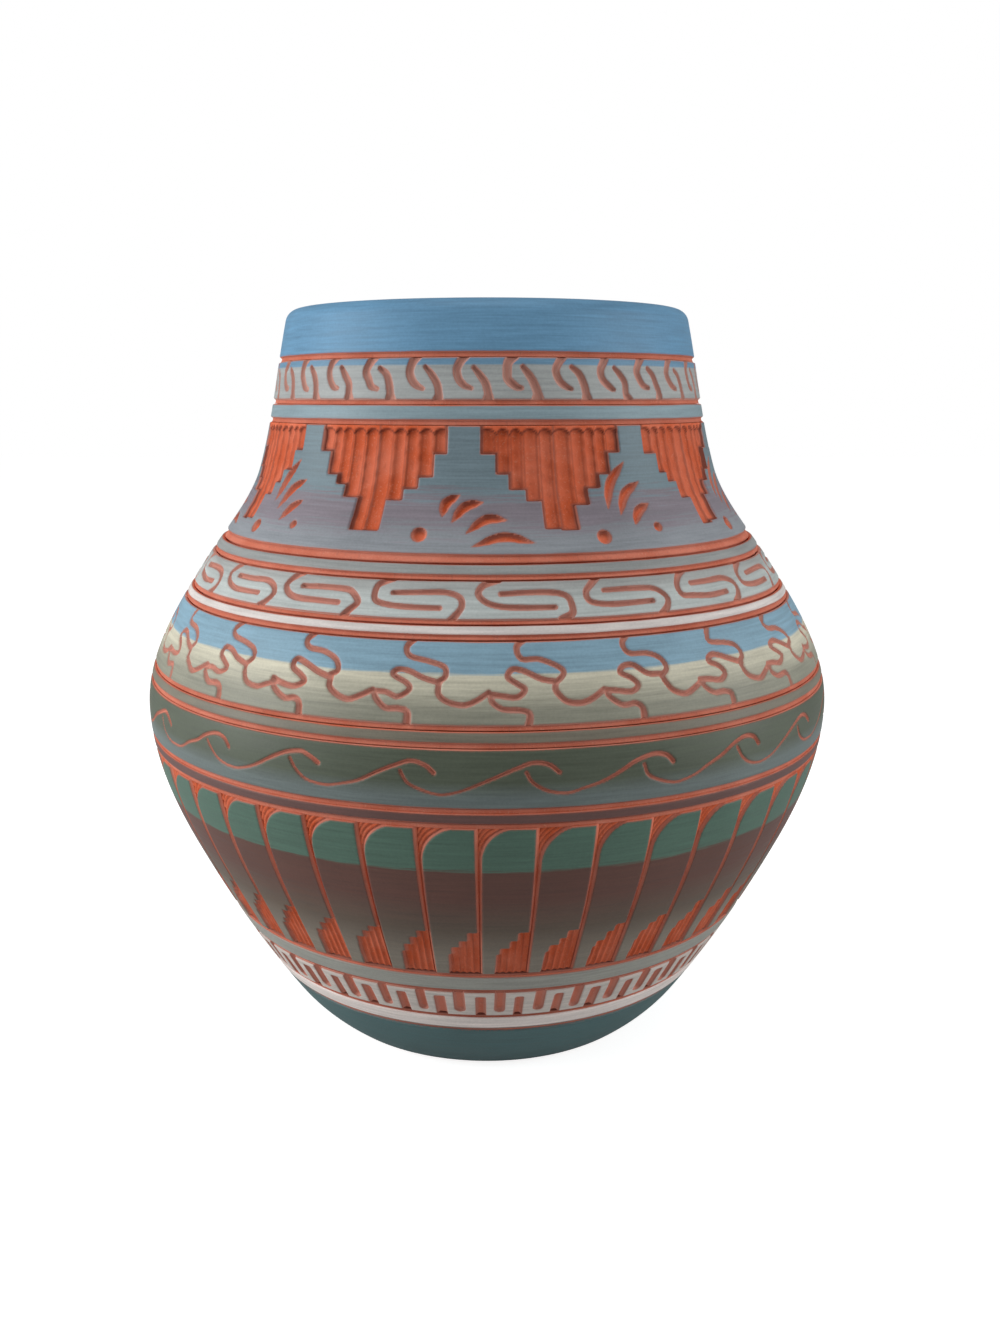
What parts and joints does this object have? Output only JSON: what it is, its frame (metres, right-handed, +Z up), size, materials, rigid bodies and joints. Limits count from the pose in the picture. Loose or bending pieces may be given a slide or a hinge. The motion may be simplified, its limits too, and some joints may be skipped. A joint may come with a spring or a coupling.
{
  "type": "etched pottery jar",
  "caption": "Round-bellied clay jar with a wide neck, painted in bands and etched through to the clay with steps, feathers and a key fret; stands on a flat base and holds stems or stands empty.",
  "frame": {"origin": "middle of the flat base, on the surface that the jar stands on", "axes": "+Z up along the jar's axis of turning; -Y towards the pictured front"},
  "size_m": [0.1702, 0.1702, 0.178],
  "materials": {
    "clay_body": "bare fired clay, matt",
    "rim_band": "brushed matt paint on fired clay",
    "hook_band": "brushed matt paint on fired clay",
    "neck_stripe": "brushed matt paint on fired clay",
    "step_band": "brushed matt paint on fired clay",
    "shoulder_stripe": "brushed matt paint on fired clay",
    "scroll_band": "brushed matt paint on fired clay",
    "white_stripe": "brushed matt paint on fired clay",
    "meander_band": "brushed matt paint on fired clay",
    "olive_stripe": "brushed matt paint on fired clay",
    "wave_band": "brushed matt paint on fired clay",
    "mauve_stripe": "brushed matt paint on fired clay",
    "grey_stripe": "brushed matt paint on fired clay",
    "key_band": "brushed matt paint on fired clay",
    "foot_stripe": "brushed matt paint on fired clay",
    "foot_band": "brushed matt paint on fired clay",
    "feather": "brushed matt paint on fired clay"
  },
  "bodies": {
    "root": {"clay_body": "clay_body", "rim_band": "rim_band", "hook_band": "hook_band", "neck_stripe": "neck_stripe", "step_band": "step_band", "shoulder_stripe": "shoulder_stripe", "scroll_band": "scroll_band", "white_stripe": "white_stripe", "meander_band": "meander_band", "olive_stripe": "olive_stripe", "wave_band": "wave_band", "mauve_stripe": "mauve_stripe", "grey_stripe": "grey_stripe", "key_band": "key_band", "foot_stripe": "foot_stripe", "foot_band": "foot_band", "feather_01": "feather", "feather_02": "feather", "feather_03": "feather", "feather_04": "feather", "feather_05": "feather", "feather_06": "feather", "feather_07": "feather", "feather_08": "feather", "feather_09": "feather", "feather_10": "feather", "feather_11": "feather", "feather_12": "feather", "feather_13": "feather", "feather_14": "feather", "feather_15": "feather", "feather_16": "feather", "feather_17": "feather", "feather_18": "feather", "feather_19": "feather", "feather_20": "feather", "feather_21": "feather", "feather_22": "feather", "feather_23": "feather", "feather_24": "feather", "feather_25": "feather", "feather_26": "feather", "feather_27": "feather", "feather_28": "feather", "feather_29": "feather", "feather_30": "feather", "feather_31": "feather", "feather_32": "feather", "feather_33": "feather", "feather_34": "feather", "feather_35": "feather", "feather_36": "feather", "feather_37": "feather", "feather_38": "feather", "feather_39": "feather", "feather_40": "feather", "feather_41": "feather", "feather_42": "feather", "feather_43": "feather"}
  },
  "joints": []
}
